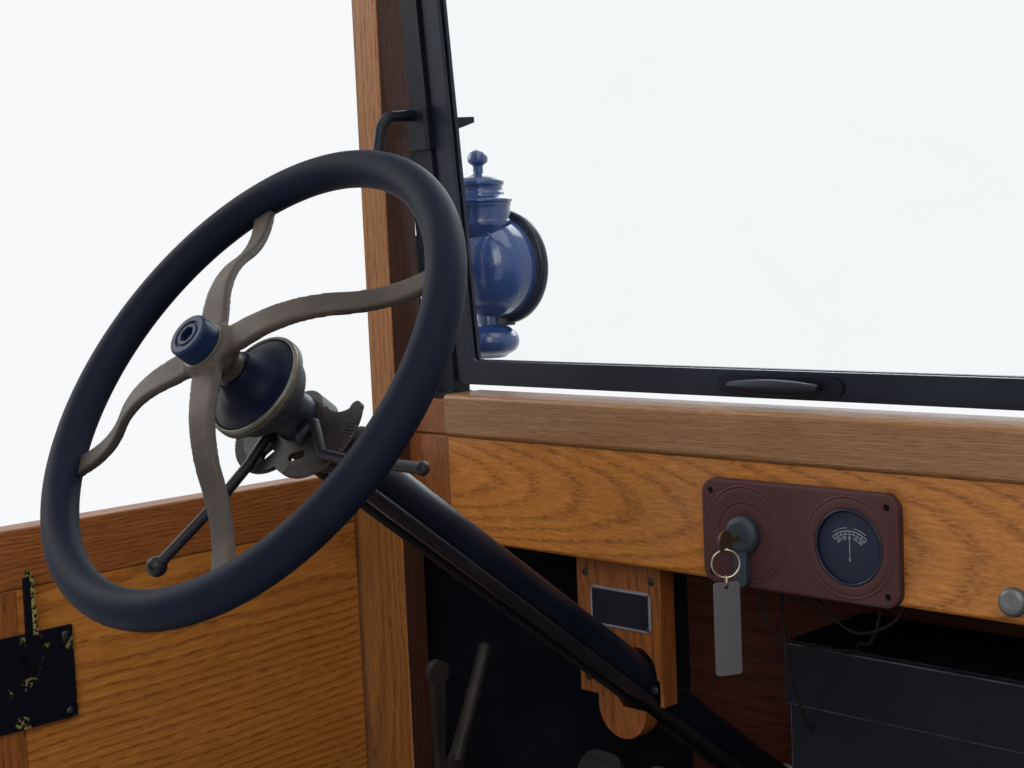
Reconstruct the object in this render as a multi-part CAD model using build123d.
from build123d import *
import os
from math import asin, cos, degrees, radians, sin, tan

os.makedirs("parts", exist_ok=True)

# Front body and steering section of a wood-bodied 1920s car, in millimetres.
# +X is the car's right, +Y its front and +Z up. The origin is the middle of the base, on the floor.

# Base
BASE_LENGTH = 1040.0
BEARER_SPACING = 400.0
BEARER_WIDTH = 44.0
BEARER_HEIGHT = 60.0
CROSS_WIDTH = 60.0
CROSS_DEPTH = 30.0
CROSS_LEAD = 10.0
FLOOR_LEAP = 10.0
SILL_WIDTH = 90.0
FLOOR_THICK = 20.0
FLOOR_PLANKS = 4
PLANK_GAP = 2.0
TOE_RISE = 105.0
TOE_THICK = 18.0
TOE_CLEARANCE = 2.0
TOE_NOSE_CLEARANCE = 4.0
CHASSIS_BOLT_RADIUS = 6.0
CHASSIS_BOLT_INSET_FRONT = 30.0
CHASSIS_BOLT_INSET_REAR = 120.0

# Body frame
BODY_WIDTH = 1474.0
DASH_FACE = 79.0
POST_LEAD = 9.0
POST_WIDTH = 99.0
POST_DEPTH = 30.0
UPPER_POST_WIDTH = 40.0
UPPER_POST_DEPTH = 41.0
HEADER_CLEARANCE = 6.0
HEADER_HEIGHT = 50.0
HEADER_OVERHANG = 2.0
ROOF_BOLT_SPACING = 1000.0
ROOF_BOLT_RADIUS = 5.0
WOOD_EASE = 3.0

# Dash
DASH_BOTTOM = 523.0
BOARD_HEIGHT = 109.0
BOARD_THICK = 22.0
RAIL_HEIGHT = 44.0
RAIL_DEPTH = 54.0
RAIL_OVERHANG = 4.0
BLOCK_WIDTH = 70.0
BLOCK_SETBACK = 8.0
BLOCK_DROP = 7.0
SEAM_WIDTH = 2.0
SEAM_DEPTH = 3.0
COLUMN_BOARD_OFFSET = 30.0
COLUMN_BOARD_WIDTH = 106.0
COLUMN_BOARD_THICK = 20.0
COLUMN_BOARD_BOTTOM = 385.0
COLUMN_BOARD_TONGUE = 40.0
TONGUE_WIDTH = 60.0

# Instruments
PANEL_X = -133.0
PANEL_WIDTH = 197.0
PANEL_HEIGHT = 94.0
PANEL_THICK = 8.0
PANEL_CORNER = 14.0
PANEL_LOWERING = 8.5
INSTRUMENT_OFFSET = 52.0
DIAL_RADIUS = 30.0
DIAL_DEPTH = 40.0
RING_RADIUS = 41.0
SWITCH_RADIUS = 17.0
SWITCH_DEPTH = 10.0
GRIP_LENGTH = 45.0
GRIP_WIDTH = 13.0
BOW_RADIUS = 9.5
BOW_THICK = 2.2
BOW_REACH = 18.0
BOW_HOLE = 2.6
BOW_HOLE_DROP = 5.5
KEY_RING_RADIUS = 12.0
RING_WIRE = 0.8
LINK_RADIUS = 4.5
LINK_WIRE = 0.7
TAG_WIDTH = 24.0
TAG_HEIGHT = 81.0
TAG_THICK = 2.0
TAG_HOLE = 2.0
TAG_HOLE_DROP = 4.5
TAG_TURN = 62.0
HANG_GAP = 0.2
CHOKE_X = 68.0
CHOKE_RADIUS = 11.5
CHOKE_RISE = 22.7

# Front
FIREWALL_GAP = 239.0
FIREWALL_THICK = 20.0
COWL_INSET = 12.0
COWL_FRONT_HALF = 470.0
COWL_REAR_TOP = 650.0
COWL_FRONT_TOP = 600.0
COWL_REAR_CORNER = 90.0
COWL_FRONT_CORNER = 130.0
COWL_CROWN = 10.0
COWL_WALL = 3.0
BONNET_BOLT_SPACING_X = 760.0
BONNET_BOLT_SPACING_Z = 330.0
BONNET_BOLT_LOW = 210.0
BONNET_BOLT_RADIUS = 5.0
COIL_X = -105.0
COIL_WIDTH = 270.0
COIL_DEPTH = 134.0
COIL_BOTTOM = 262.0
COIL_BODY_HEIGHT = 115.0
COIL_LID_HEIGHT = 62.0
COIL_WALL = 6.0
COIL_LID_LAP = 2.0

# Windscreen
SCREEN_SIDE_GAP = 59.0
SCREEN_HEIGHT = 560.0
SCREEN_LIFT = 8.0
SCREEN_LEAN = 4.2
SCREEN_SETBACK = 37.0
SCREEN_THICK = 14.0
SCREEN_STILE = 24.0
SCREEN_BOTTOM_BAR = 25.0
SCREEN_TOP_BAR = 22.0
GLASS_THICK = 5.0
GLASS_GROOVE = 7.0
BRACKET_WIDTH = 26.0
BRACKET_FLARE = 10.0
BRACKET_GAP = 3.0
BRACKET_CLAMP_HEIGHT = 269.0
HOOK_RADIUS = 6.0
FIN_REACH = 56.0
FIN_WEB = 18.0
LATCH_X = -170.0
LATCH_LENGTH = 130.0

# Cowl lamps
LAMP_OFFSET = 34.0
LAMP_Y = 246.0
LAMP_Z = 802.0
LAMP_RADIUS = 58.0
LAMP_BEZEL_RADIUS = 64.0
LAMP_WALL = 3.0
LAMP_DEPTH = 78.0
LENS_THICK = 5.0
LAMP_PLATE_HALF = 40.0
LAMP_ARM_HALF = 11.0
CHIMNEY_SETBACK = 5.0

# Steering
WHEEL_X = -330.0
WHEEL_REACH = 419.0
WHEEL_HEIGHT = 740.0
COLUMN_SLOPE = 36.8
COLUMN_MARGIN = 4.0
COLUMN_YAW = 1.0
WHEEL_DIAMETER = 406.0
RIM_RADIUS = 14.5
SPOKE_COUNT = 4
SPOKE_TURN = 29.5
SPOKE_THICK = 7.0
SPOKE_HUB_WIDTH = 32.0
SPOKE_WAIST_WIDTH = 18.5
SPOKE_FOOT_WIDTH = 22.0
HUB_RISE = 33.0
HUB_RADIUS = 23.0
NUT_RADIUS = 17.0
NUT_HEIGHT = 16.0
STUB_RADIUS = 12.0
CASE_RADIUS = 38.0
CASE_LIP = 4.5
CASE_TOP = -10.0
CASE_BOSS = 20.0
CASE_DEPTH = 28.0
CASE_COLLAR = 6.0
CASE_WALL = 4.0
TUBE_RADIUS = 19.0
TUBE_WALL = 3.0
TUBE_END = 985.0
SHAFT_RADIUS = 9.5
RUNNING_GAP = 0.05
ROD_RADIUS = 4.0
ROD_SPREAD = 18.5
ROD_DROP = 18.0
ROD_END = 925.0
LEVER_PLACE = -57.0
LEVER_RADIUS = 4.2
LEVER_BEND = 4.3
SPARK_KNOB_RADIUS = 8.0
THROTTLE_KNOB_RADIUS = 5.2
SPARK_REACH = 44.0
SPARK_DROP = 121.0
THROTTLE_REACH = 151.5
THROTTLE_DROP = 18.0
LEVER_TIP_RISE = 6.0
QUADRANT_TOP = -62.0
QUADRANT_THICK = 4.0
LOBE_RADIUS = 44.0
LOBE_SPREAD = 23.0
LOBE_DROP = 4.0
TOOTH_COUNT = 28
TOOTH_LENGTH = 9.0
TOOTH_GAP = 1.3
TOOTH_DEPTH = 1.4
TOOTH_PITCH = 3.9
TOOTH_START = -101.0
HORN_X = 58.0
HORN_Y = 13.0
HORN_RADIUS = 5.5
VALLEY_X = 40.0
VALLEY_Y = 31.0
VALLEY_RADIUS = 23.0
QUADRANT_CLAMP = 14.0
GUIDE_BORE = 4.5
BUTTON_PLACE = -106.0
BUTTON_RADIUS = 9.0
BUTTON_HEIGHT = 12.0
BALL_ARM_LENGTH = 115.0
BALL_ARM_THICK = 12.0
BALL_RADIUS = 14.0
CLAMP_PLACE = 955.0
CLAMP_LENGTH = 40.0

# Floor controls
PEDAL_COUNT = 3
PEDAL_PITCH = 85.0
PEDAL_PAD_WIDTH = 56.0
PEDAL_PAD_HEIGHT = 74.0
PEDAL_DROP = 107.0
PAD_REACH = 86.0
PAD_THICK = 8.0
PAD_RIB = 3.0
PEDAL_STEM_RADIUS = 7.0
PEDAL_INSET = 70.0
SEAT_GAP = 0.3
HANDBRAKE_INSET = 78.0
HANDBRAKE_Y = -36.0
HANDBRAKE_REACH = 150.0
HANDBRAKE_HEIGHT = 326.0
BRAKE_GRIP_LENGTH = 120.0
BRAKE_GRIP_RADIUS = 8.0
SQUEEZE_PLACE = 200.0
SQUEEZE_LENGTH = 138.0
SQUEEZE_WIDTH = 15.0
SECTOR_RADIUS = 86.0
SECTOR_BORE = 58.0
SECTOR_FOOT = 24.0
SECTOR_TEETH = 9

# Doors
DOOR_LENGTH = 497.0
DOOR_TOP = 587.0
DOOR_THICK = 30.0
DOOR_GAP = 7.0
DOOR_LIFT = 6.0
TOP_RAIL_HEIGHT = 56.0
BOTTOM_RAIL_HEIGHT = 80.0
HINGE_STILE = 60.0
LOCK_STILE = 94.0
DOOR_PANEL_THICK = 12.0
DOOR_PANEL_SINK = 2.0
DOOR_LAP = 8.0
HINGE_OFFSET = 8.0
HINGE_RADIUS = 7.0
HINGE_PIN_RADIUS = 3.5
HINGE_LENGTH = 60.0
HINGE_KNUCKLE = 22.0
STRAP_LENGTH = 130.0
STRAP_THICK = 5.0
HINGE_HEIGHTS = (150.0, 500.0)
LOCK_PLATE_LENGTH = 127.0
LOCK_PLATE_HEIGHT = 88.0
LOCK_PLATE_TOP = 489.0
LOCK_PLATE_THICK = 4.0

# Places that follow from the sizes above
BODY_HALF = BODY_WIDTH / 2
CHASSIS_BOLT_FRONT = BASE_LENGTH / 2 - CHASSIS_BOLT_INSET_FRONT
CHASSIS_BOLT_REAR = CHASSIS_BOLT_INSET_REAR - BASE_LENGTH / 2
SILL_INNER = BODY_HALF - SILL_WIDTH
FLOOR_TOP = BEARER_HEIGHT + FLOOR_THICK
POST_REAR = DASH_FACE - POST_LEAD
POST_FRONT = POST_REAR + POST_DEPTH
POST_INNER = BODY_HALF - POST_WIDTH
DASH_HALF = POST_INNER - BLOCK_WIDTH
BOARD_TOP = DASH_BOTTOM + BOARD_HEIGHT
RAIL_TOP = BOARD_TOP + RAIL_HEIGHT
RAIL_REAR = DASH_FACE - RAIL_OVERHANG
RAIL_FRONT = RAIL_REAR + RAIL_DEPTH
TOE_REAR = POST_REAR - FLOOR_LEAP
BOARD_FRONT = DASH_FACE + BOARD_THICK
BLOCK_TOP = RAIL_TOP - BLOCK_DROP
FIREWALL_REAR = BOARD_FRONT + FIREWALL_GAP
FIREWALL_FRONT = FIREWALL_REAR + FIREWALL_THICK
PANEL_Z = DASH_BOTTOM + BOARD_HEIGHT / 2 - PANEL_LOWERING
DIAL_X = PANEL_X + INSTRUMENT_OFFSET
SWITCH_X = PANEL_X - INSTRUMENT_OFFSET
COLUMN_BOARD_X = WHEEL_X - COLUMN_BOARD_OFFSET
COWL_REAR_HALF = BODY_HALF - COWL_INSET
SCREEN_HALF = POST_INNER - SCREEN_SIDE_GAP
LAMP_X = POST_INNER + LAMP_OFFSET
HANDBRAKE_X = HANDBRAKE_INSET - POST_INNER
PEDAL_X = WHEEL_X - PEDAL_PITCH * PEDAL_COUNT / 2
PAD_Y = DASH_FACE + PAD_REACH
COIL_LID_SEAM = COIL_BOTTOM + COIL_BODY_HEIGHT
SCREEN_Y = DASH_FACE + SCREEN_SETBACK
SCREEN_Z = RAIL_TOP + SCREEN_LIFT
HEADER_BOTTOM = SCREEN_Z + SCREEN_HEIGHT + HEADER_CLEARANCE
RIM_CENTRE_RADIUS = WHEEL_DIAMETER / 2 - RIM_RADIUS
CASE_BOTTOM = CASE_TOP - CASE_DEPTH
DOOR_FRONT = POST_REAR - DOOR_GAP
DOOR_REAR = DOOR_FRONT - DOOR_LENGTH
DOOR_BOTTOM = BEARER_HEIGHT + DOOR_LIFT
DOOR_INNER = BODY_HALF - DOOR_THICK
HINGE_X = -(BODY_HALF + HINGE_OFFSET)
HINGE_Y = DOOR_FRONT

# The column's own frame: its origin is the middle of the rim and its +Z runs up to the driver.
SLOPE = radians(COLUMN_SLOPE)
YAW = radians(COLUMN_YAW)
COLUMN = Plane(
    origin=(WHEEL_X, DASH_FACE - WHEEL_REACH, WHEEL_HEIGHT),
    x_dir=(cos(YAW), sin(YAW), 0),
    z_dir=(sin(YAW) * cos(SLOPE), -cos(YAW) * cos(SLOPE), sin(SLOPE)),
).location

# How high the pedals' pads stand, below the column as it passes over them
PAD_HEIGHT = WHEEL_HEIGHT - (PAD_Y - DASH_FACE + WHEEL_REACH) * tan(SLOPE) - PEDAL_DROP

# The windscreen's own frame: its origin is the middle of its lower edge.
SCREEN = Pos(0, SCREEN_Y, SCREEN_Z) * Rot(SCREEN_LEAN, 0, 0)

# The left lamp's own frame: its origin is the middle of its drum.
LAMP = Pos(-LAMP_X, LAMP_Y, LAMP_Z)

# Solids that stand on their base, and a length that runs past everything
LOW = (Align.CENTER, Align.CENTER, Align.MIN)
FAR = 1600.0


# Shapes that several pieces use

def block(x, y, z):
    """A box from its limits along each axis."""
    middle = Pos((x[0] + x[1]) / 2, (y[0] + y[1]) / 2, (z[0] + z[1]) / 2)
    return middle * Box(abs(x[1] - x[0]), abs(y[1] - y[0]), abs(z[1] - z[0]))


def eased(solid, axis, size=WOOD_EASE):
    """The solid with its edges along one axis bevelled, as planed wood is."""
    return chamfer(solid.edges().filter_by(axis), size)


def drum(radius, low, high):
    """A cylinder about +Z between two heights."""
    return Pos(0, 0, low) * Cylinder(radius, high - low, align=LOW)


def rod(start, end, radius):
    """A round bar between two points."""
    run = Vector(*end) - Vector(*start)
    return Plane(origin=start, z_dir=run).location * Cylinder(radius, run.length, align=LOW)


def bent_rod(points, radius, bend):
    """A round bar along straight runs with rounded bends."""
    path = FilletPolyline(*points, radius=bend)
    section = Plane(origin=path @ 0, z_dir=path % 0) * Circle(radius)
    return sweep(section, path=path)


def upright(outline, y_low, y_high):
    """An outline drawn in X and Z, made solid from y_low to y_high."""
    face = Plane(origin=(0, y_high, 0), x_dir=(1, 0, 0), z_dir=(0, -1, 0)) * outline
    return extrude(face, amount=y_high - y_low)


def sideways(outline, x_low, x_high):
    """An outline drawn in Y and Z, made solid from x_low to x_high."""
    face = Plane(origin=(x_low, 0, 0), x_dir=(0, 1, 0), z_dir=(1, 0, 0)) * outline
    return extrude(face, amount=x_high - x_low)


def mirrored(solid):
    """The same piece on the other side of the car."""
    return mirror(solid, about=Plane.YZ)


def both_sides(solid):
    """A piece and its mirror image, as two solids."""
    return Compound(children=[solid, mirrored(solid)])


def group(pieces):
    """Several solids kept apart in one node."""
    solids = [solid for piece in pieces for solid in piece.solids()]
    return Compound(children=solids)


# Base

CROSS_TABLE = (
    # rear face, half length
    (-BASE_LENGTH / 2, SILL_INNER),
    (POST_REAR, SILL_INNER),
    (FIREWALL_FRONT - CROSS_WIDTH + CROSS_LEAD, COWL_FRONT_HALF),
)


def cross_members():
    """Three beams let into the top of the bearers."""
    beams = []
    for rear, half in CROSS_TABLE:
        beams.append(
            block((-half, half), (rear, rear + CROSS_WIDTH), (BEARER_HEIGHT - CROSS_DEPTH, BEARER_HEIGHT))
        )
    return group(beams)


def bearers(beams):
    """Two lengthwise beams, notched for the cross members and bored for the chassis bolts."""
    half = BEARER_WIDTH / 2
    bearer = block((-half, half), (-BASE_LENGTH / 2, BASE_LENGTH / 2), (0, BEARER_HEIGHT))
    bearer = eased(bearer, Axis.Y)
    for place in (CHASSIS_BOLT_FRONT, CHASSIS_BOLT_REAR):
        bearer -= Pos(0, place, 0) * drum(CHASSIS_BOLT_RADIUS, -1, BEARER_HEIGHT + 1)
    pair = [Pos(side * BEARER_SPACING / 2, 0, 0) * bearer for side in (-1, 1)]
    return group([beam - beams for beam in pair])


def door_sills():
    """The outer sills that the doors close over."""
    sill = block((-BODY_HALF, -SILL_INNER), (-BASE_LENGTH / 2, POST_FRONT), (0, BEARER_HEIGHT))
    return both_sides(eased(sill, Axis.Y))


def toe_outline():
    """The toe board seen from above: it narrows with the cowl."""
    inner = POST_INNER - TOE_CLEARANCE
    nose = COWL_FRONT_HALF - COWL_WALL - TOE_NOSE_CLEARANCE
    points = [(-inner, TOE_REAR), (inner, TOE_REAR), (inner, POST_FRONT), (nose, FIREWALL_REAR)]
    points += [(-nose, FIREWALL_REAR), (-inner, POST_FRONT)]
    return make_face(Polyline(*points, close=True))


def pedal_feet():
    """Where each pedal's stem comes up through the toe board."""
    y = FIREWALL_REAR - PEDAL_INSET
    z = FLOOR_TOP + TOE_RISE * (y - TOE_REAR) / (FIREWALL_REAR - TOE_REAR)
    return [(PEDAL_X + index * PEDAL_PITCH, y, z) for index in range(PEDAL_COUNT)]


def floor_boards():
    """Cross planks on the bearers, and the sloping toe board ahead of them."""
    rear = -BASE_LENGTH / 2
    pitch = (TOE_REAR - rear) / FLOOR_PLANKS
    pieces = []
    for index in range(FLOOR_PLANKS):
        start = rear + index * pitch
        end = start + pitch - PLANK_GAP
        pieces.append(block((-SILL_INNER, SILL_INNER), (start, end), (BEARER_HEIGHT, FLOOR_TOP)))
    for side in (-1, 1):
        access = Pos(side * BEARER_SPACING / 2, CHASSIS_BOLT_REAR, 0)
        pieces = [piece - access * drum(2 * CHASSIS_BOLT_RADIUS, 0, FLOOR_TOP + 1) for piece in pieces]
    low, high = FLOOR_TOP, FLOOR_TOP + TOE_RISE
    side_view = Polyline(
        (TOE_REAR, low - TOE_THICK),
        (TOE_REAR, low),
        (FIREWALL_REAR, high),
        (FIREWALL_REAR, high - TOE_THICK),
        close=True,
    )
    toe = sideways(make_face(side_view), -BODY_HALF, BODY_HALF)
    toe &= extrude(toe_outline(), amount=FAR)
    for x, y, _ in pedal_feet():
        toe -= Pos(x, y, 0) * drum(PEDAL_STEM_RADIUS + SEAT_GAP, 0, FAR)
    pieces.append(toe)
    return group(pieces)


# Body frame

def post():
    """The left door post: wide below, where the door shuts on it, and slim beside the windscreen."""
    shoulder = 18.0
    outer, inner = -BODY_HALF, -POST_INNER
    slim = inner - UPPER_POST_WIDTH
    points = [(inner, BEARER_HEIGHT), (inner, HEADER_BOTTOM), (slim, HEADER_BOTTOM)]
    points += [(slim, DOOR_TOP), (outer + shoulder, DOOR_TOP)]
    outline = Polyline(*points)
    outline += CenterArc((outer + shoulder, DOOR_TOP - shoulder), shoulder, 90, 90)
    outline += Polyline((outer, DOOR_TOP - shoulder), (outer, BEARER_HEIGHT), (inner, BEARER_HEIGHT))
    body = upright(make_face(outline), POST_REAR, POST_FRONT)
    deep = block((slim, inner), (POST_REAR, POST_REAR + UPPER_POST_DEPTH), (DOOR_TOP, HEADER_BOTTOM))
    body += deep
    return body


def header():
    """The cross rail over the windscreen, bored for the roof's bolts."""
    half = POST_INNER + UPPER_POST_WIDTH
    rear = POST_REAR - HEADER_OVERHANG
    front = POST_REAR + UPPER_POST_DEPTH + HEADER_OVERHANG
    rail = block((-half, half), (rear, front), (HEADER_BOTTOM, HEADER_BOTTOM + HEADER_HEIGHT))
    rail = eased(rail, Axis.X, 6.0)
    for side in (-1, 1):
        hole = Pos(side * ROOF_BOLT_SPACING / 2, (rear + front) / 2, 0)
        rail -= hole * drum(ROOF_BOLT_RADIUS, HEADER_BOTTOM - 1, HEADER_BOTTOM + HEADER_HEIGHT + 1)
    return rail


def dash_end_blocks():
    """The blocks that carry the dash between the posts, grooved where rail and board meet."""
    rear = DASH_FACE + BLOCK_SETBACK
    piece = block((-POST_INNER, -DASH_HALF), (rear, RAIL_FRONT), (DASH_BOTTOM, BLOCK_TOP))
    groove = (BOARD_TOP - SEAM_WIDTH / 2, BOARD_TOP + SEAM_WIDTH / 2)
    piece -= block((-POST_INNER, -DASH_HALF), (rear, rear + SEAM_DEPTH), groove)
    return both_sides(piece)


# Dash

def dash_rail():
    """The upper oak rail, rounded along its rear edges."""
    rail = block((-DASH_HALF, DASH_HALF), (RAIL_REAR, RAIL_FRONT), (BOARD_TOP, RAIL_TOP))
    rear_edges = rail.edges().filter_by(Axis.X).group_by(Axis.Y)[0]
    return fillet(rear_edges, 5.0)


def dash_board():
    """The lower oak board, cut out behind the instrument panel."""
    board = block((-DASH_HALF, DASH_HALF), (DASH_FACE, BOARD_FRONT), (DASH_BOTTOM, BOARD_TOP))
    low_edges = board.edges().filter_by(Axis.X).group_by(Axis.Z)[0]
    board = fillet(low_edges, 5.0)
    window = (PANEL_WIDTH - 30, PANEL_HEIGHT - 30)
    board -= block(
        (PANEL_X - window[0] / 2, PANEL_X + window[0] / 2),
        (DASH_FACE - 1, BOARD_FRONT + 1),
        (PANEL_Z - window[1] / 2, PANEL_Z + window[1] / 2),
    )
    return board


def column_passage(margin):
    """The room that the column and its two control rods need on their way through a board."""
    tube = drum(TUBE_RADIUS + margin, -FAR, 0)
    drop = ROD_DROP + ROD_RADIUS + margin
    spread = ROD_SPREAD + ROD_RADIUS + margin
    rods = block((-spread, spread), (-drop, 0), (-FAR, 0))
    rods = chamfer(rods.edges().filter_by(Axis.Z).group_by(Axis.Y)[0], 6.0)
    return COLUMN * (tube + rods)


def column_board():
    """The oak board that the column passes through, with a rounded tongue below its hole."""
    left = COLUMN_BOARD_X - COLUMN_BOARD_WIDTH / 2
    right = COLUMN_BOARD_X + COLUMN_BOARD_WIDTH / 2
    tongue = TONGUE_WIDTH / 2
    low = COLUMN_BOARD_BOTTOM - COLUMN_BOARD_TONGUE
    curve = low + tongue
    outline = Polyline(
        (COLUMN_BOARD_X + tongue, curve),
        (COLUMN_BOARD_X + tongue, COLUMN_BOARD_BOTTOM),
        (right, COLUMN_BOARD_BOTTOM),
        (right, BOARD_TOP),
        (left, BOARD_TOP),
        (left, COLUMN_BOARD_BOTTOM),
        (COLUMN_BOARD_X - tongue, COLUMN_BOARD_BOTTOM),
        (COLUMN_BOARD_X - tongue, curve),
    )
    outline += CenterArc((COLUMN_BOARD_X, curve), tongue, 180, 180)
    board = upright(make_face(outline), BOARD_FRONT, BOARD_FRONT + COLUMN_BOARD_THICK)
    return board - column_passage(COLUMN_MARGIN)


# Instruments

def facing(x, z, y=DASH_FACE):
    """A place on the dash, turned so that +Z of a piece points at the driver."""
    return Pos(x, y, z) * Rot(90, 0, 0)


def instrument_panel():
    """The pressed plate with a soft edge, a raised ring round each instrument and a dial hole."""
    plate = extrude(RectangleRounded(PANEL_WIDTH, PANEL_HEIGHT, PANEL_CORNER), amount=PANEL_THICK)
    plate = fillet(plate.edges().group_by(Axis.Z)[-1], 3.0)
    for offset in (-INSTRUMENT_OFFSET, INSTRUMENT_OFFSET):
        plate += Pos(offset, 0, PANEL_THICK) * Torus(RING_RADIUS - 2, 1.6)
    plate -= Pos(INSTRUMENT_OFFSET, 0, 0) * drum(DIAL_RADIUS, -1, PANEL_THICK + 5)
    plate -= Pos(-INSTRUMENT_OFFSET, 0, 0) * drum(SWITCH_RADIUS - 4, -1, PANEL_THICK + 5)
    return facing(PANEL_X, PANEL_Z) * plate


def ammeter():
    """The round gauge: a can behind the plate, a bezel before it and a sunk dial."""
    front = PANEL_THICK + 1
    profile = Polyline(
        (0, PANEL_THICK - DIAL_DEPTH),
        (DIAL_RADIUS - 1, PANEL_THICK - DIAL_DEPTH),
        (DIAL_RADIUS - 1, PANEL_THICK),
        (DIAL_RADIUS + 2, PANEL_THICK),
        (DIAL_RADIUS + 2, front - 0.4),
        (DIAL_RADIUS + 1.6, front),
        (DIAL_RADIUS - 2, front),
        (DIAL_RADIUS - 3, front - 3),
        (0, front - 3),
        close=True,
    )
    gauge = revolve(Plane.XZ * make_face(profile), axis=Axis.Z)
    return facing(DIAL_X, PANEL_Z) * gauge


def ignition_switch():
    """The switch barrel with a domed head, a flat lock face and a grip that hangs down."""
    head = PANEL_THICK + SWITCH_DEPTH
    neck, lock = SWITCH_RADIUS - 5, SWITCH_RADIUS * 0.55
    profile = Polyline((0, -10), (neck, -10), (neck, PANEL_THICK), (SWITCH_RADIUS, PANEL_THICK))
    profile += Line((SWITCH_RADIUS, PANEL_THICK), (SWITCH_RADIUS, head - 5))
    profile += ThreePointArc((SWITCH_RADIUS, head - 5), (SWITCH_RADIUS * 0.84, head - 1.4), (lock, head))
    profile += Polyline((lock, head), (0, head), (0, -10))
    barrel = revolve(Plane.XZ * make_face(profile), axis=Axis.Z)
    outline = SlotOverall(GRIP_LENGTH + GRIP_WIDTH / 2, GRIP_WIDTH, rotation=90)
    drop = (GRIP_LENGTH - GRIP_WIDTH / 2) / 2
    grip = Pos(0, -drop, PANEL_THICK + 2) * extrude(outline, amount=SWITCH_DEPTH - 3.5)
    return facing(SWITCH_X, PANEL_Z) * (barrel + grip)


def key_and_tag():
    """The key in the switch, and the blank tag that hangs from it by a ring and a link."""
    face = DASH_FACE - PANEL_THICK - SWITCH_DEPTH
    bow_y, bow_z = face - BOW_REACH, PANEL_Z - 1.5
    disc = Pos(bow_y, bow_z) * Circle(BOW_RADIUS)
    disc += Pos(bow_y + BOW_REACH / 2, bow_z) * Rectangle(BOW_REACH - 2 * HANG_GAP, 5)
    disc -= Pos(bow_y, bow_z - BOW_HOLE_DROP) * Circle(BOW_HOLE)
    key = sideways(disc, SWITCH_X - BOW_THICK / 2, SWITCH_X + BOW_THICK / 2)
    ring_z = bow_z - BOW_HOLE_DROP - BOW_HOLE + RING_WIRE + HANG_GAP - KEY_RING_RADIUS
    link_z = ring_z - KEY_RING_RADIUS + RING_WIRE + LINK_WIRE + HANG_GAP - LINK_RADIUS
    hole_z = link_z - LINK_RADIUS - TAG_HOLE + LINK_WIRE + HANG_GAP
    ring = Pos(SWITCH_X, bow_y, ring_z) * Rot(0, 0, -45) * Rot(0, 90, 0) * Torus(KEY_RING_RADIUS, RING_WIRE)
    link = Pos(SWITCH_X, bow_y, link_z) * Rot(0, 0, 45) * Rot(0, 90, 0) * Torus(LINK_RADIUS, LINK_WIRE)
    plate = RectangleRounded(TAG_WIDTH, TAG_HEIGHT, 3.0)
    plate = Pos(0, TAG_HOLE_DROP - TAG_HEIGHT / 2) * plate - Circle(TAG_HOLE)
    tag = Rot(0, 0, TAG_TURN) * Rot(90, 0, 0) * Pos(0, 0, -TAG_THICK / 2) * extrude(plate, amount=TAG_THICK)
    return group([key, ring, link, Pos(SWITCH_X, bow_y, hole_z) * tag])


def choke_knob():
    """The mushroom pull at the lower edge of the dash."""
    head = drum(CHOKE_RADIUS, 14, 25)
    head = fillet(head.edges().filter_by(GeomType.CIRCLE), 4.0)
    return facing(CHOKE_X, DASH_BOTTOM + CHOKE_RISE) * (head + drum(3, 0, 15) + drum(6, 0, 3))


# Front

def cowl_section(y, half_width, top, corner, inset):
    """The loaf-shaped outline of the cowl at one place along the car."""
    wide = half_width - inset
    high = top - inset
    low = BEARER_HEIGHT - 2 * inset
    knee = high - corner
    shoulder = wide - corner
    outline = Polyline((-wide, knee), (-wide, low), (wide, low), (wide, knee))
    outline += CenterArc((shoulder, knee), corner, 0, 90)
    outline += ThreePointArc((shoulder, high), (0, high + COWL_CROWN), (-shoulder, high))
    outline += CenterArc((-shoulder, knee), corner, 90, 90)
    return Plane(origin=(0, y, 0), x_dir=(1, 0, 0), z_dir=(0, -1, 0)) * make_face(outline)


def cowl_form(inset, overrun):
    """The cowl's outer form, or its hollow when inset by the wall."""
    rear = cowl_section(POST_FRONT - overrun, COWL_REAR_HALF, COWL_REAR_TOP, COWL_REAR_CORNER, inset)
    front = cowl_section(FIREWALL_REAR + overrun, COWL_FRONT_HALF, COWL_FRONT_TOP, COWL_FRONT_CORNER, inset)
    return loft([rear, front])


def cowl():
    """The sheet metal between the posts and the firewall, cut away round the dash."""
    shell = cowl_form(0, 0) - cowl_form(COWL_WALL, 0.01)
    shell -= block((-POST_INNER, POST_INNER), (POST_FRONT - 1, RAIL_FRONT), (DASH_BOTTOM, HEADER_BOTTOM))
    slim = POST_INNER + UPPER_POST_WIDTH
    shell -= block((-slim, slim), (POST_FRONT - 1, POST_REAR + UPPER_POST_DEPTH), (DOOR_TOP, HEADER_BOTTOM))
    return shell


def firewall():
    """The wooden bulkhead that closes the cowl, bored for the bonnet shelf and the column."""
    flange = 4.0
    half, top = COWL_FRONT_HALF + flange, COWL_FRONT_TOP + flange
    board = extrude(cowl_section(FIREWALL_FRONT, half, top, COWL_FRONT_CORNER, 0), amount=FIREWALL_THICK)
    for x in (-BONNET_BOLT_SPACING_X / 2, BONNET_BOLT_SPACING_X / 2):
        for z in (BONNET_BOLT_LOW, BONNET_BOLT_LOW + BONNET_BOLT_SPACING_Z):
            board -= facing(x, z, FIREWALL_FRONT) * drum(BONNET_BOLT_RADIUS, -1, FIREWALL_THICK + 1)
    return board - column_passage(COLUMN_MARGIN)


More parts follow.
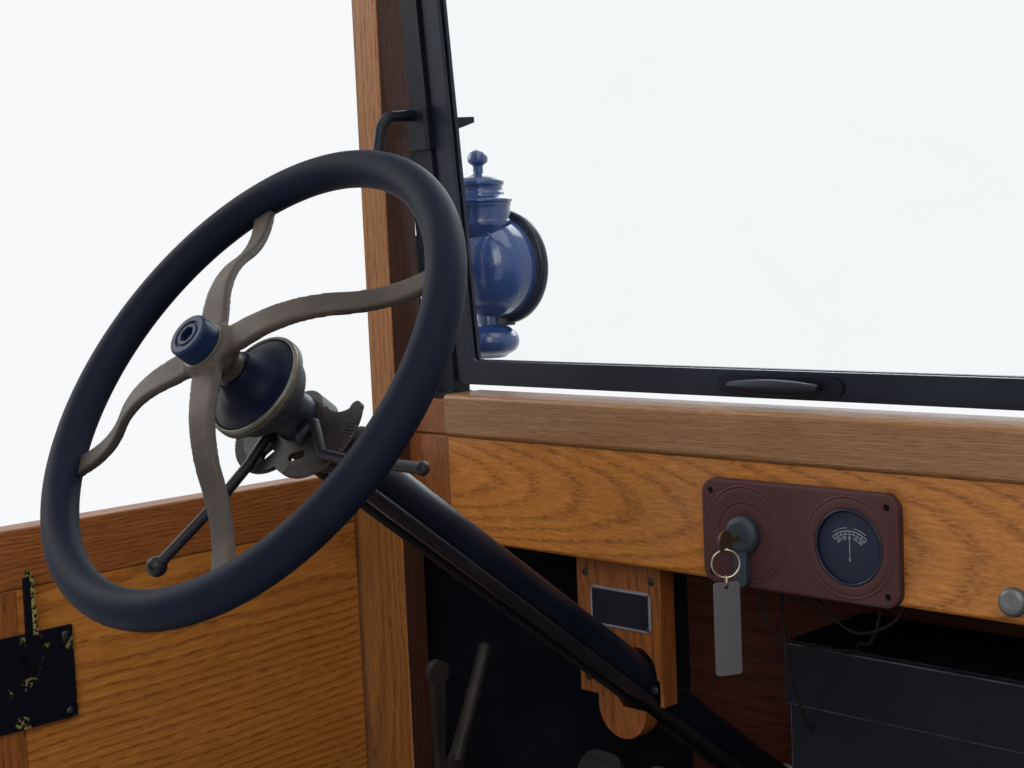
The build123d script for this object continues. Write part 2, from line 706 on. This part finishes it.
def coil_box():
    """The lower half of the ignition coil box, open at the top under its lid."""
    x = (COIL_X - COIL_WIDTH / 2, COIL_X + COIL_WIDTH / 2)
    y = (FIREWALL_REAR - COIL_DEPTH, FIREWALL_REAR)
    body = eased(block(x, y, (COIL_BOTTOM, COIL_LID_SEAM)), Axis.Z)
    hollow = (COIL_BOTTOM + COIL_WALL, COIL_LID_SEAM + 1)
    body -= block((x[0] + COIL_WALL, x[1] - COIL_WALL), (y[0] + COIL_WALL, y[1] - COIL_WALL), hollow)
    return body


def coil_box_lid():
    """The lift-off cover, lapped a little over the box."""
    x = (COIL_X - COIL_WIDTH / 2 - COIL_LID_LAP, COIL_X + COIL_WIDTH / 2 + COIL_LID_LAP)
    y = (FIREWALL_REAR - COIL_DEPTH - COIL_LID_LAP, FIREWALL_REAR)
    lid = block(x, y, (COIL_LID_SEAM, COIL_LID_SEAM + COIL_LID_HEIGHT))
    lid = chamfer(lid.edges().group_by(Axis.Z)[-1], 3.0)
    wall = COIL_WALL + COIL_LID_LAP
    hollow = (COIL_LID_SEAM - 1, COIL_LID_SEAM + COIL_LID_HEIGHT - COIL_WALL)
    lid -= block((x[0] + wall, x[1] - wall), (y[0] + wall, y[1] - wall), hollow)
    return lid


# Windscreen

def glass_limits():
    """The limits of the pane in the windscreen's own frame."""
    half = SCREEN_HALF - SCREEN_STILE + GLASS_GROOVE
    return (-half, half), (SCREEN_BOTTOM_BAR - GLASS_GROOVE, SCREEN_HEIGHT - SCREEN_TOP_BAR + GLASS_GROOVE)


def windscreen_frame():
    """The steel frame, grooved all round for the pane."""
    outer = Pos(0, SCREEN_HEIGHT / 2) * RectangleRounded(2 * SCREEN_HALF, SCREEN_HEIGHT, 9.0)
    clear_height = SCREEN_HEIGHT - SCREEN_BOTTOM_BAR - SCREEN_TOP_BAR
    middle = SCREEN_BOTTOM_BAR + clear_height / 2
    inner = Pos(0, middle) * RectangleRounded(2 * (SCREEN_HALF - SCREEN_STILE), clear_height, 5.0)
    bars = upright(outer - inner, -SCREEN_THICK / 2, SCREEN_THICK / 2)
    x, z = glass_limits()
    bars -= block(x, (-GLASS_THICK / 2, GLASS_THICK / 2), z)
    return SCREEN * bars


def windscreen_glass():
    """The single flat pane."""
    x, z = glass_limits()
    return SCREEN * block(x, (-GLASS_THICK / 2, GLASS_THICK / 2), z)


def windscreen_latch():
    """The handle on the lower bar: a back plate, two feet and a barrel-shaped grip."""
    back = -SCREEN_THICK / 2
    middle = SCREEN_BOTTOM_BAR / 2
    plate = upright(SlotOverall(LATCH_LENGTH, 16.0), back - 3, back)
    grip_half = LATCH_LENGTH * 0.36
    profile = Polyline((-grip_half, 0), (-grip_half, 3.5))
    profile += ThreePointArc((-grip_half, 3.5), (0, 7.0), (grip_half, 3.5))
    profile += Polyline((grip_half, 3.5), (grip_half, 0), (-grip_half, 0))
    grip = Pos(0, back - 12, 0) * revolve(make_face(profile), axis=Axis.X)
    feet = [Pos(side * grip_half * 0.8, back - 12, 0) * block((-4, 4), (0, 10), (-4, 4)) for side in (-1, 1)]
    return SCREEN * (Pos(LATCH_X, 0, middle) * (plate + grip + feet[0] + feet[1]))


def windscreen_bracket():
    """The left steel pillar: foot, flared upright, frame bolts, clamp with its hook, and forward fin."""
    right = -SCREEN_HALF - BRACKET_GAP
    left = right - BRACKET_WIDTH
    clamp = BRACKET_CLAMP_HEIGHT
    outline = Polyline(
        (right, 2),
        (right, SCREEN_HEIGHT),
        (left + 5, SCREEN_HEIGHT),
        (left, clamp + 30),
        (left - BRACKET_FLARE, clamp - 60),
        (left - BRACKET_FLARE, 2),
        close=True,
    )
    pillar = upright(make_face(outline), -11, 11)
    for height in (60.0, SCREEN_HEIGHT - 60.0):
        pillar += rod((right, 0, height), (-SCREEN_HALF, 0, height), 6.0)
    collar = eased(block((left - 4, right + BRACKET_GAP - 0.5), (-17, 17), (clamp - 22, clamp + 22)), Axis.Z)
    fin = Polyline(
        (10, clamp + 9),
        (FIN_REACH, clamp + 8),
        (FIN_REACH, clamp + 2),
        (FIN_REACH - 22, clamp - 3),
        (FIN_WEB, clamp - 8),
        (FIN_WEB, 2),
        (10, 2),
        close=True,
    )
    lug = sideways(make_face(fin), left, right)
    hook_x = left + 8
    hook_path = [(hook_x, -14, clamp + 14), (hook_x, -48, clamp + 14)]
    hook_path += [(hook_x, -60, clamp + 4), (hook_x, -67, clamp - 20)]
    hook = bent_rod(hook_path, HOOK_RADIUS, HOOK_RADIUS + 1)
    leaning = SCREEN * (pillar + collar + lug + hook)
    low_left = left - BRACKET_FLARE
    foot = block((low_left - 6, right + 2), (SCREEN_Y - 20, RAIL_FRONT), (BLOCK_TOP, BLOCK_TOP + 6))
    stem = block((low_left, right), (SCREEN_Y - 12, SCREEN_Y + 11), (BLOCK_TOP + 5, SCREEN_Z + 10))
    return leaning + foot + stem


# Cowl lamps

CHIMNEY_TABLE = (
    # radius, height, both as shares of the drum's radius
    (0.0, 0.45), (0.42, 0.45), (0.62, 0.85), (0.62, 1.28), (0.65, 1.3), (0.65, 1.35), (0.5, 1.42),
    (0.5, 1.72), (0.42, 1.78), (0.2, 1.81), (0.1, 1.86), (0.1, 2.02), (0.19, 2.08), (0.2, 2.2),
    (0.14, 2.3), (0.0, 2.34),
)
FONT_TABLE = (
    # radius, height, both as shares of the drum's radius
    (0.0, -0.6), (0.21, -0.6), (0.21, -1.12), (0.38, -1.17), (0.54, -1.28), (0.62, -1.44), (0.58, -1.62),
    (0.46, -1.72), (0.33, -1.79), (0.0, -1.79),
)


def lamp_drum():
    """The domed drum about +Y with a rolled bezel in front, hollow behind the lens."""
    half = LAMP_DEPTH / 2
    inner = LAMP_RADIUS - LAMP_WALL
    bezel = LAMP_BEZEL_RADIUS
    outside = ThreePointArc((0, -half), (LAMP_RADIUS * 0.74, -half + 12), (LAMP_RADIUS, -half + 40))
    outside += Polyline((LAMP_RADIUS, -half + 40), (LAMP_RADIUS, half - 14), (bezel, half - 12))
    outside += ThreePointArc((bezel, half - 12), (bezel + 2, half - 6), (bezel - 1, half))
    outside += Polyline((bezel - 1, half), (inner, half), (inner, -half + 42))
    outside += Polyline((inner, -half + 42), (0, -half + LAMP_WALL + 6), (0, -half))
    return revolve(make_face(outside), axis=Axis.Y)


def turned(table, scale):
    """A solid turned about +Z from a table of radius and height."""
    points = [(radius * scale, height * scale) for radius, height in table]
    return revolve(Plane.XZ * make_face(Polyline(*points, close=True)), axis=Axis.Z)


def lamp():
    """The left cowl lamp with its chimney, oil font and the arm that holds it to the post."""
    body = lamp_drum()
    hollow = Rot(-90, 0, 0) * drum(LAMP_RADIUS - LAMP_WALL, 42 - LAMP_DEPTH / 2, LAMP_DEPTH / 2 + 1)
    body += Pos(0, -CHIMNEY_SETBACK, 0) * turned(CHIMNEY_TABLE, LAMP_RADIUS) - hollow
    body += turned(FONT_TABLE, LAMP_RADIUS) - hollow
    low = -LAMP_BEZEL_RADIUS
    body += block((-9, 9), (LAMP_DEPTH / 2 - 16, LAMP_DEPTH / 2 - 2), (low - 4, low + 6)) - hollow
    post_face = POST_REAR + UPPER_POST_DEPTH
    plate_x = (1 - POST_INNER - UPPER_POST_WIDTH, -POST_INNER - 3)
    plate = block(plate_x, (post_face, post_face + 6), (LAMP_Z - LAMP_PLATE_HALF, LAMP_Z + LAMP_PLATE_HALF))
    arm_y = LAMP_Y - LAMP_DEPTH / 2
    arm_z = (LAMP_Z - LAMP_ARM_HALF, LAMP_Z + LAMP_ARM_HALF)
    arm = block((-LAMP_X - 5, -LAMP_X + 5), (post_face + 5, arm_y + 6), arm_z)
    arm = fillet(arm.edges().filter_by(Axis.Y), 4.0)
    return LAMP * body + plate + arm


def lamp_lenses():
    """The flat lens behind each bezel."""
    front = LAMP_Y + LAMP_DEPTH / 2 - 4
    pane = Pos(-LAMP_X, front, LAMP_Z) * Rot(90, 0, 0) * drum(LAMP_RADIUS - LAMP_WALL, 0, LENS_THICK)
    return both_sides(pane)


# Steering wheel

def wheel_rim():
    """The round-section rim."""
    return COLUMN * Torus(RIM_CENTRE_RADIUS, RIM_RADIUS)


def spoke_side_view():
    """The S-curve of a spoke between the hub and the rim, seen from the side."""
    start, end = HUB_RADIUS + 22, RIM_CENTRE_RADIUS - 16
    low = -4.0
    length, rise = end - start, HUB_RISE - low
    bend = (length**2 + rise**2) / (4 * rise)
    turn = degrees(asin(length / 2 / bend))
    path = Line((0, HUB_RISE), (start, HUB_RISE))
    path += CenterArc((start, HUB_RISE - bend), bend, 90, -turn)
    path += CenterArc((end, low + bend), bend, 270 - turn, turn)
    path += Line((end, low), (RIM_CENTRE_RADIUS + 2, low))
    return path


def spoke_band():
    """The side view made as wide as the widest part of a spoke."""
    path = spoke_side_view()
    start = path @ 0
    section = Plane(origin=(start.X, start.Y, 0), x_dir=(0, 1, 0), z_dir=(1, 0, 0)) * Rectangle(
        SPOKE_THICK, SPOKE_FOOT_WIDTH + 4
    )
    return Rot(90, 0, 0) * sweep(section, path=path)


def spoke_plan():
    """The outline of a spoke from above: wide at the hub, waisted, and flared to a foot."""
    hub, waist, foot = SPOKE_HUB_WIDTH / 2, SPOKE_WAIST_WIDTH / 2, SPOKE_FOOT_WIDTH / 2
    middle = RIM_CENTRE_RADIUS * 0.55
    end = RIM_CENTRE_RADIUS
    side = ThreePointArc((0, hub), (middle, waist), (end - 20, waist))
    upper = side + Polyline((end - 20, waist), (end - 8, foot), (end, foot))
    ends = Line((end, foot), (end, -foot)) + Line((0, -hub), (0, hub))
    return make_face(upper + ends + mirror(upper, about=Plane.XZ))


def wheel_spider():
    """Hub and spokes in one forging, with the stub that drives the gears."""
    flat = extrude(spoke_plan(), amount=120, both=True)
    spoke = spoke_band() & flat
    spoke -= Torus(RIM_CENTRE_RADIUS, RIM_RADIUS)
    lower, upper = HUB_RISE - 12, HUB_RISE + 8
    base = CASE_TOP - CASE_WALL - 6
    shoulder = HUB_RISE + 3
    profile = Polyline((0, base), (STUB_RADIUS, base), (STUB_RADIUS, lower), (HUB_RADIUS - 4, lower))
    profile += Polyline((HUB_RADIUS - 4, lower), (HUB_RADIUS, lower + 5), (HUB_RADIUS, shoulder))
    profile += ThreePointArc((HUB_RADIUS, shoulder), (HUB_RADIUS - 3, upper - 1), (HUB_RADIUS - 7, upper))
    profile += Polyline((HUB_RADIUS - 7, upper), (0, upper), (0, base))
    spider = revolve(Plane.XZ * make_face(profile), axis=Axis.Z)
    for index in range(SPOKE_COUNT):
        spider += Rot(0, 0, SPOKE_TURN + index * 360 / SPOKE_COUNT) * spoke
    return COLUMN * spider


def hub_nut():
    """The round cap nut with a six-sided socket in its top."""
    seat = HUB_RISE + 8
    nut = drum(NUT_RADIUS, seat, seat + NUT_HEIGHT)
    nut = chamfer(nut.edges().filter_by(GeomType.CIRCLE), 1.5)
    nut -= Pos(0, 0, seat + NUT_HEIGHT - 6) * extrude(RegularPolygon(6.5, 6), amount=8)
    nut -= Pos(0, 0, seat + NUT_HEIGHT - 1.5) * extrude(Circle(11) - Circle(9), amount=3)
    return COLUMN * nut


# Column

def gear_case():
    """The drum of reduction gears under the wheel: dished lid, rolled rim and tapered belly."""
    top, bottom, wall = CASE_TOP, CASE_BOTTOM, CASE_WALL
    lip, shell = CASE_RADIUS + CASE_LIP, CASE_RADIUS - CASE_WALL
    belly, foot = CASE_RADIUS - 3, CASE_RADIUS - 11
    bore = STUB_RADIUS + RUNNING_GAP
    collar, low = TUBE_RADIUS + 4, CASE_BOTTOM - CASE_COLLAR
    boss = top + CASE_BOSS
    profile = Polyline((bore, boss), (bore + 4, boss), (bore + 11, top - 1), (CASE_RADIUS - 5, top - 3))
    profile += ThreePointArc((CASE_RADIUS - 5, top - 3), (lip - 2, top), (lip, top - 4))
    profile += Polyline((lip, top - 4), (lip, top - 10), (CASE_RADIUS, top - 12), (belly, bottom + 9))
    profile += ThreePointArc((belly, bottom + 9), (belly - 3, bottom + 3), (foot, bottom))
    profile += Polyline((foot, bottom), (collar, bottom), (collar, low), (TUBE_RADIUS, low))
    profile += Polyline((TUBE_RADIUS, low), (TUBE_RADIUS, bottom + wall), (foot, bottom + wall))
    profile += Polyline((foot, bottom + wall), (belly - wall, bottom + 11), (shell, top - 3 - wall))
    profile += Polyline((shell, top - 3 - wall), (bore, top - 1 - wall), (bore, boss))
    return COLUMN * revolve(Plane.XZ * make_face(profile), axis=Axis.Z)


def column_tube():
    """The long tube with a bush for the shaft at each end."""
    bore = TUBE_RADIUS - TUBE_WALL
    tube = drum(TUBE_RADIUS, -TUBE_END, CASE_BOTTOM + CASE_WALL) - drum(bore, -TUBE_END - 1, 0)
    for low in (-TUBE_END, CASE_BOTTOM - 20):
        tube += drum(bore, low, low + 20) - drum(SHAFT_RADIUS + RUNNING_GAP, low - 1, low + 21)
    return COLUMN * tube


def steering_shaft():
    """The shaft inside the column, from the planet carrier down to the ball arm."""
    carrier = drum(CASE_RADIUS - 17, CASE_BOTTOM + CASE_WALL + 1.5, CASE_BOTTOM + CASE_WALL + 9)
    end = -(TUBE_END + 6 + BALL_ARM_THICK + 4)
    shaft = carrier + drum(SHAFT_RADIUS, end, CASE_BOTTOM + CASE_WALL + 5)
    low = -(TUBE_END + 6 + BALL_ARM_THICK)
    hub = drum(SHAFT_RADIUS + 9, low, low + BALL_ARM_THICK)
    reach = BALL_ARM_LENGTH
    web = Polyline((-13, 0), (13, 0), (8, -reach), (-8, -reach), close=True)
    arm = Pos(0, 0, low + 1) * extrude(make_face(web), amount=BALL_ARM_THICK - 2)
    eye = Pos(0, -reach, 0) * drum(11, low, low + BALL_ARM_THICK)
    stud = Pos(0, -reach, 0) * drum(7, low - 8, low + 1)
    ball = Pos(0, -reach, low - 4 - BALL_RADIUS) * Sphere(BALL_RADIUS)
    return COLUMN * (shaft + hub + arm + eye + stud + ball)


def column_bracket():
    """The cast bracket that carries the column's lower end from the left bearer."""
    middle = (COLUMN * Pos(0, 0, -CLAMP_PLACE)).position
    bearer = -BEARER_SPACING / 2
    half_web = 10.0
    top = middle.Z + 14
    left = middle.X
    outline = Polyline(
        (bearer - 15, BEARER_HEIGHT),
        (bearer + 15, BEARER_HEIGHT),
        (bearer + 12, top - 16),
        (bearer - 8, top),
        (left, top + 6),
        (left, top - 26),
        (bearer - 30, top - 30),
        close=True,
    )
    web = upright(make_face(outline), middle.Y - half_web, middle.Y + half_web)
    foot = block(
        (bearer - BEARER_WIDTH / 2 + 1, bearer + BEARER_WIDTH / 2 - 1),
        (middle.Y - 34, middle.Y + 34),
        (BEARER_HEIGHT, BEARER_HEIGHT + 9),
    )
    half = CLAMP_LENGTH / 2
    ring = COLUMN * drum(TUBE_RADIUS + 11, -CLAMP_PLACE - half, -CLAMP_PLACE + half)
    casting = web + foot + ring
    casting -= COLUMN * drum(TUBE_RADIUS, -FAR, 0)
    return casting


# Spark and throttle controls

WINDOW_TABLE = (
    # x, y, turn, length, width
    (-15.0, -30.0, 49.0, 16.0, 8.0),
    (19.0, -31.0, 18.0, 17.0, 7.0),
)


def tooth_gaps():
    """The radial cuts round both lobes that leave the quadrant's teeth standing."""
    low = QUADRANT_TOP - TOOTH_DEPTH
    cutter = Pos(LOBE_RADIUS - TOOTH_LENGTH / 2 + 1, 0, low) * Box(TOOTH_LENGTH + 2, TOOTH_GAP, 3, align=LOW)
    centre = Pos(LOBE_SPREAD, -LOBE_DROP, 0)
    cuts = []
    for index in range(TOOTH_COUNT):
        cut = centre * Rot(0, 0, TOOTH_START + index * TOOTH_PITCH) * cutter
        cuts += [cut, mirror(cut, about=Plane.YZ)]
    return cuts


def quadrant():
    """The two-lobed plate under the gear case: toothed edge, horns, windows, clamp and rod guides."""
    left_lobe, right_lobe = [Pos(side * LOBE_SPREAD, -LOBE_DROP) * Circle(LOBE_RADIUS) for side in (-1, 1)]
    below_horns = Rectangle(6 * LOBE_RADIUS, 3 * LOBE_RADIUS, align=(Align.CENTER, Align.MAX))
    plate = (left_lobe + right_lobe) & Pos(0, HORN_Y - 1) * below_horns
    for side in (-1, 1):
        plate -= Pos(side * VALLEY_X, VALLEY_Y) * Circle(VALLEY_RADIUS)
        plate += Pos(side * HORN_X, HORN_Y) * Circle(HORN_RADIUS)
    plate += Circle(TUBE_RADIUS + 6)
    for x, y, turn, length, width in WINDOW_TABLE:
        plate -= Pos(x, y) * SlotOverall(length, width, rotation=turn)
    low = QUADRANT_TOP - QUADRANT_THICK
    body = Pos(0, 0, low) * extrude(plate, amount=QUADRANT_THICK)
    for cut in tooth_gaps():
        body -= cut
    body += drum(TUBE_RADIUS + 6, low - QUADRANT_CLAMP, low + 1)
    for side in (-1, 1):
        guide = Pos(side * ROD_SPREAD, -ROD_DROP, 0)
        body += guide * drum(GUIDE_BORE + 3, low - QUADRANT_CLAMP + 2, low + 1)
    body -= drum(TUBE_RADIUS, low - QUADRANT_CLAMP - 1, 0)
    bore = drum(GUIDE_BORE, BUTTON_PLACE - 1, 0)
    rod_bores = [Pos(side * ROD_SPREAD, -ROD_DROP, 0) * bore for side in (-1, 1)]
    body -= rod_bores
    button_x = TUBE_RADIUS + BUTTON_RADIUS + 3
    button = Pos(button_x, 7, BUTTON_PLACE) * drum(BUTTON_RADIUS, 0, BUTTON_HEIGHT)
    button = fillet(button.edges().group_by(Axis.Z)[-1], 5.0)
    strap = drum(TUBE_RADIUS + 4, BUTTON_PLACE, BUTTON_PLACE + 9)
    strap += block((TUBE_RADIUS - 2, button_x), (2, 12), (BUTTON_PLACE, BUTTON_PLACE + 7))
    strap -= drum(TUBE_RADIUS, BUTTON_PLACE - 1, BUTTON_PLACE + BUTTON_HEIGHT)
    strap -= rod_bores
    return COLUMN * group([body, strap + button])


SPARK_BENDS = (
    # share of the reach, of the drop and of the rise at each bend
    (0.12, 0.22, 0.0),
    (0.35, 0.48, 0.3),
)
THROTTLE_BENDS = (
    # share of the reach, of the drop and of the rise at each bend
    (0.056, -0.83, 0.0),
    (0.24, 0.67, 0.0),
    (0.43, 0.83, 0.2),
)


def control_lever(side, reach, drop, bends, knob_radius):
    """A control rod beside the column with its bent hand lever and knob."""
    x, y = side * ROD_SPREAD, -ROD_DROP
    stem = Pos(x, y, 0) * drum(ROD_RADIUS, -ROD_END, LEVER_PLACE - 6)
    path = [(x, y, LEVER_PLACE - 8), (x, y, LEVER_PLACE)]
    for along, down, rise in (*bends, (1.0, 1.0, 1.0)):
        path.append((x + side * reach * along, y - drop * down, LEVER_PLACE + LEVER_TIP_RISE * rise))
    arm = bent_rod(path, LEVER_RADIUS, LEVER_BEND)
    collar = Pos(x, y, 0) * drum(LEVER_RADIUS, LEVER_PLACE - 8, LEVER_PLACE - 6)
    knob = Pos(*path[-1]) * Sphere(knob_radius)
    foot = rod((x, y, -ROD_END + 6), (x + side * 34, y, -ROD_END + 6), ROD_RADIUS - 0.5)
    return COLUMN * (stem + collar + arm + knob + foot)


# Floor controls

def foot_pedals():
    """Three pedals on bent stems that rise through the toe board."""
    pieces = []
    for x, toe_y, toe_z in pedal_feet():
        path = [(x, toe_y, toe_z - 40), (x, toe_y, toe_z + 34), (x, PAD_Y, PAD_HEIGHT)]
        stem = bent_rod(path, PEDAL_STEM_RADIUS, 24.0)
        pad = extrude(RectangleRounded(PEDAL_PAD_WIDTH, PEDAL_PAD_HEIGHT, 18.0), amount=PAD_THICK)
        for rib in range(-2, 3):
            pad += Pos(0, rib * 12, PAD_THICK) * Box(PEDAL_PAD_WIDTH - 18, 4, PAD_RIB, align=LOW)
        tilt = Pos(x, PAD_Y + 2, PAD_HEIGHT) * Rot(55, 0, 0)
        pieces.append(stem + tilt * pad)
    return group(pieces)


def handbrake():
    """The hand lever with its squeeze grip and pawl rod, on a toothed sector bolted to the floor."""
    foot = (HANDBRAKE_X, HANDBRAKE_Y, FLOOR_TOP)
    tip = (HANDBRAKE_X, HANDBRAKE_Y + HANDBRAKE_REACH, FLOOR_TOP + HANDBRAKE_HEIGHT)
    run = Vector(*tip) - Vector(*foot)
    frame = Plane(origin=foot, x_dir=(1, 0, 0), z_dir=run).location
    blade_end = run.length - BRAKE_GRIP_LENGTH
    blade = Polyline((-14, 4), (14, 4), (9, blade_end), (-9, blade_end), close=True)
    flat = sideways(make_face(blade), -4, 4)
    grip = drum(BRAKE_GRIP_RADIUS, blade_end - 5, run.length - 6)
    grip += Pos(0, 0, run.length - 6) * Sphere(BRAKE_GRIP_RADIUS)
    wide, waist, top = SQUEEZE_WIDTH / 2, SQUEEZE_LENGTH * 0.69, SQUEEZE_LENGTH * 0.83
    squeeze = Polyline((-3, 0), (-wide, waist), (-wide, top))
    squeeze += ThreePointArc((-wide, top), (0, SQUEEZE_LENGTH), (wide, top))
    squeeze += Polyline((wide, top), (wide, waist), (3, 0), (-3, 0))
    leaf = Pos(0, -10, SQUEEZE_PLACE) * Rot(23.4, 0, 0) * sideways(make_face(squeeze), -4, 4)
    pawl = rod((0, -14, 60), (0, -11, SQUEEZE_PLACE + 4), 3.0)
    catch = block((-3, 3), (-18, -8), (54, 66))
    arm = frame * (flat + grip + leaf + pawl + catch)
    sector = Circle(SECTOR_RADIUS) & Pos(0, SECTOR_RADIUS / 2) * Rectangle(2 * SECTOR_RADIUS, SECTOR_RADIUS)
    sector -= Circle(SECTOR_BORE)
    sector += Rectangle(2 * SECTOR_RADIUS, SECTOR_FOOT, align=(Align.CENTER, Align.MIN))
    for index in range(SECTOR_TEETH):
        angle = 90 + 12 * (index - SECTOR_TEETH // 2)
        sector -= Rot(0, 0, angle) * (Pos(SECTOR_RADIUS + 1, 0) * RegularPolygon(4.5, 3, rotation=60))
    plate = sideways(Pos(HANDBRAKE_Y, FLOOR_TOP) * sector, HANDBRAKE_X - 12, HANDBRAKE_X - 6)
    pivot = FLOOR_TOP + 14
    bolt = rod((HANDBRAKE_X - 14, HANDBRAKE_Y, pivot), (HANDBRAKE_X + 8, HANDBRAKE_Y, pivot), 7.0)
    below_floor = block((HANDBRAKE_X - 40, HANDBRAKE_X + 40), (-FAR, FAR), (-FAR, FLOOR_TOP))
    return arm - below_floor + plate + bolt


# Doors

def panel_limits():
    """The limits of the left door's panel, which laps over the hinge stile right up to its edge."""
    face = DOOR_INNER + DOOR_PANEL_SINK
    y = (DOOR_REAR + LOCK_STILE, DOOR_FRONT)
    z = (DOOR_BOTTOM + BOTTOM_RAIL_HEIGHT, DOOR_TOP - TOP_RAIL_HEIGHT)
    return (-face - DOOR_PANEL_THICK, -face), y, z


def door_frame():
    """The left door's stiles and rails, rebated on the inside for the panel."""
    whole = block((-BODY_HALF, -DOOR_INNER), (DOOR_REAR, DOOR_FRONT), (DOOR_BOTTOM, DOOR_TOP))
    top_edges = whole.edges().filter_by(Axis.Y).group_by(Axis.Z)[-1]
    whole = fillet(top_edges, 5.0)
    x, y, z = panel_limits()
    rebate = block((x[0], -DOOR_INNER + 1), (y[0], y[1] + 1), z)
    opening = block(
        (-BODY_HALF - 1, -DOOR_INNER),
        (y[0] + DOOR_LAP, DOOR_FRONT - HINGE_STILE),
        (z[0] + DOOR_LAP, z[1] - DOOR_LAP),
    )
    return whole - rebate - opening


def door_panel():
    """The left door's flat oak panel."""
    return block(*panel_limits())


def door_fittings():
    """The left door's lock plate with its hand lever, the pull ring and the hinge straps."""
    inner = -DOOR_INNER
    rear = DOOR_REAR + 19
    plate = block(
        (inner, inner + LOCK_PLATE_THICK),
        (rear, rear + LOCK_PLATE_LENGTH),
        (LOCK_PLATE_TOP - LOCK_PLATE_HEIGHT, LOCK_PLATE_TOP),
    )
    lever_y = rear + LOCK_PLATE_LENGTH - 45
    spindle = rod((inner + 3, lever_y, LOCK_PLATE_TOP - 16), (inner + 14, lever_y, LOCK_PLATE_TOP - 16), 7.0)
    blade = Polyline((-6, -14), (6, -14), (4.5, 70), (0, 77), (-4.5, 70), close=True)
    handle = sideways(Pos(lever_y, LOCK_PLATE_TOP - 16) * make_face(blade), inner + 9, inner + 14)
    ring_y = DOOR_FRONT - 42
    ring_z = DOOR_TOP - TOP_RAIL_HEIGHT / 4
    eye = rod((inner, ring_y, ring_z), (inner + 12, ring_y, ring_z), 2.5)
    ring = Pos(inner + 8, ring_y, ring_z - 3.9) * Rot(0, 90, 0) * Torus(8.0, 1.8)
    pieces = [plate + spindle + handle, eye + ring]
    outer = -BODY_HALF
    for height in HINGE_HEIGHTS:
        low, high = height - HINGE_KNUCKLE / 2, height + HINGE_KNUCKLE / 2
        strap = block((outer - STRAP_THICK, outer), (HINGE_Y - STRAP_LENGTH, HINGE_Y), (low, high))
        strap += Pos(HINGE_X, HINGE_Y, 0) * drum(HINGE_RADIUS, low, high)
        strap -= Pos(HINGE_X, HINGE_Y, 0) * drum(HINGE_PIN_RADIUS + RUNNING_GAP, low - 1, high + 1)
        pieces.append(strap)
    return group(pieces)


def post_hinges():
    """The hinge leaves on both posts, each with its two knuckles and pin."""
    outer = -BODY_HALF
    gap = 0.5
    pieces = []
    for height in HINGE_HEIGHTS:
        low, high = height - HINGE_LENGTH / 2, height + HINGE_LENGTH / 2
        leaf = block((outer - STRAP_THICK, outer), (HINGE_Y, POST_FRONT - 4), (low, high))
        leaf += Pos(HINGE_X, HINGE_Y, 0) * drum(HINGE_RADIUS, low, high)
        inner = (height - HINGE_KNUCKLE / 2 - gap, height + HINGE_KNUCKLE / 2 + gap)
        reach = HINGE_RADIUS + gap
        leaf -= block((HINGE_X - reach, outer + 1), (HINGE_Y - reach, HINGE_Y + reach), inner)
        leaf += Pos(HINGE_X, HINGE_Y, 0) * drum(HINGE_PIN_RADIUS, low, high + 2)
        pieces.append(leaf)
    left = group(pieces)
    return group([left, mirrored(left)])


# Every node, one file each

def every_piece():
    """All pieces by name, in the places they have in the car."""
    beams = cross_members()
    left_lamp = lamp()
    left_frame, left_panel, left_fittings = door_frame(), door_panel(), door_fittings()
    left_post = post()
    return {
        "bearers": bearers(beams),
        "cross_members": beams,
        "door_sills": door_sills(),
        "floor_boards": floor_boards(),
        "left_post": left_post,
        "right_post": mirrored(left_post),
        "header": header(),
        "dash_end_blocks": dash_end_blocks(),
        "dash_rail": dash_rail(),
        "dash_board": dash_board(),
        "column_board": column_board(),
        "instrument_panel": instrument_panel(),
        "ammeter": ammeter(),
        "ignition_switch": ignition_switch(),
        "key_and_tag": key_and_tag(),
        "choke_knob": choke_knob(),
        "cowl": cowl(),
        "firewall": firewall(),
        "coil_box": coil_box(),
        "coil_box_lid": coil_box_lid(),
        "windscreen_frame": windscreen_frame(),
        "windscreen_glass": windscreen_glass(),
        "windscreen_latch": windscreen_latch(),
        "windscreen_brackets": both_sides(windscreen_bracket()),
        "left_lamp": left_lamp,
        "right_lamp": mirrored(left_lamp),
        "lamp_lenses": lamp_lenses(),
        "wheel_rim": wheel_rim(),
        "wheel_spider": wheel_spider(),
        "hub_nut": hub_nut(),
        "gear_case": gear_case(),
        "column_tube": column_tube(),
        "column_bracket": column_bracket(),
        "steering_shaft": steering_shaft(),
        "quadrant": quadrant(),
        "spark_lever": control_lever(-1, SPARK_REACH, SPARK_DROP, SPARK_BENDS, SPARK_KNOB_RADIUS),
        "throttle_lever": control_lever(
            1, THROTTLE_REACH, THROTTLE_DROP, THROTTLE_BENDS, THROTTLE_KNOB_RADIUS
        ),
        "foot_pedals": foot_pedals(),
        "handbrake": handbrake(),
        "left_door_frame": left_frame,
        "left_door_panel": left_panel,
        "left_door_fittings": left_fittings,
        "right_door_frame": mirrored(left_frame),
        "right_door_panel": mirrored(left_panel),
        "right_door_fittings": mirrored(left_fittings),
        "post_hinges": post_hinges(),
    }


for name, piece in every_piece().items():
    export_step(piece, f"parts/{name}.step")
    print(name, "written")
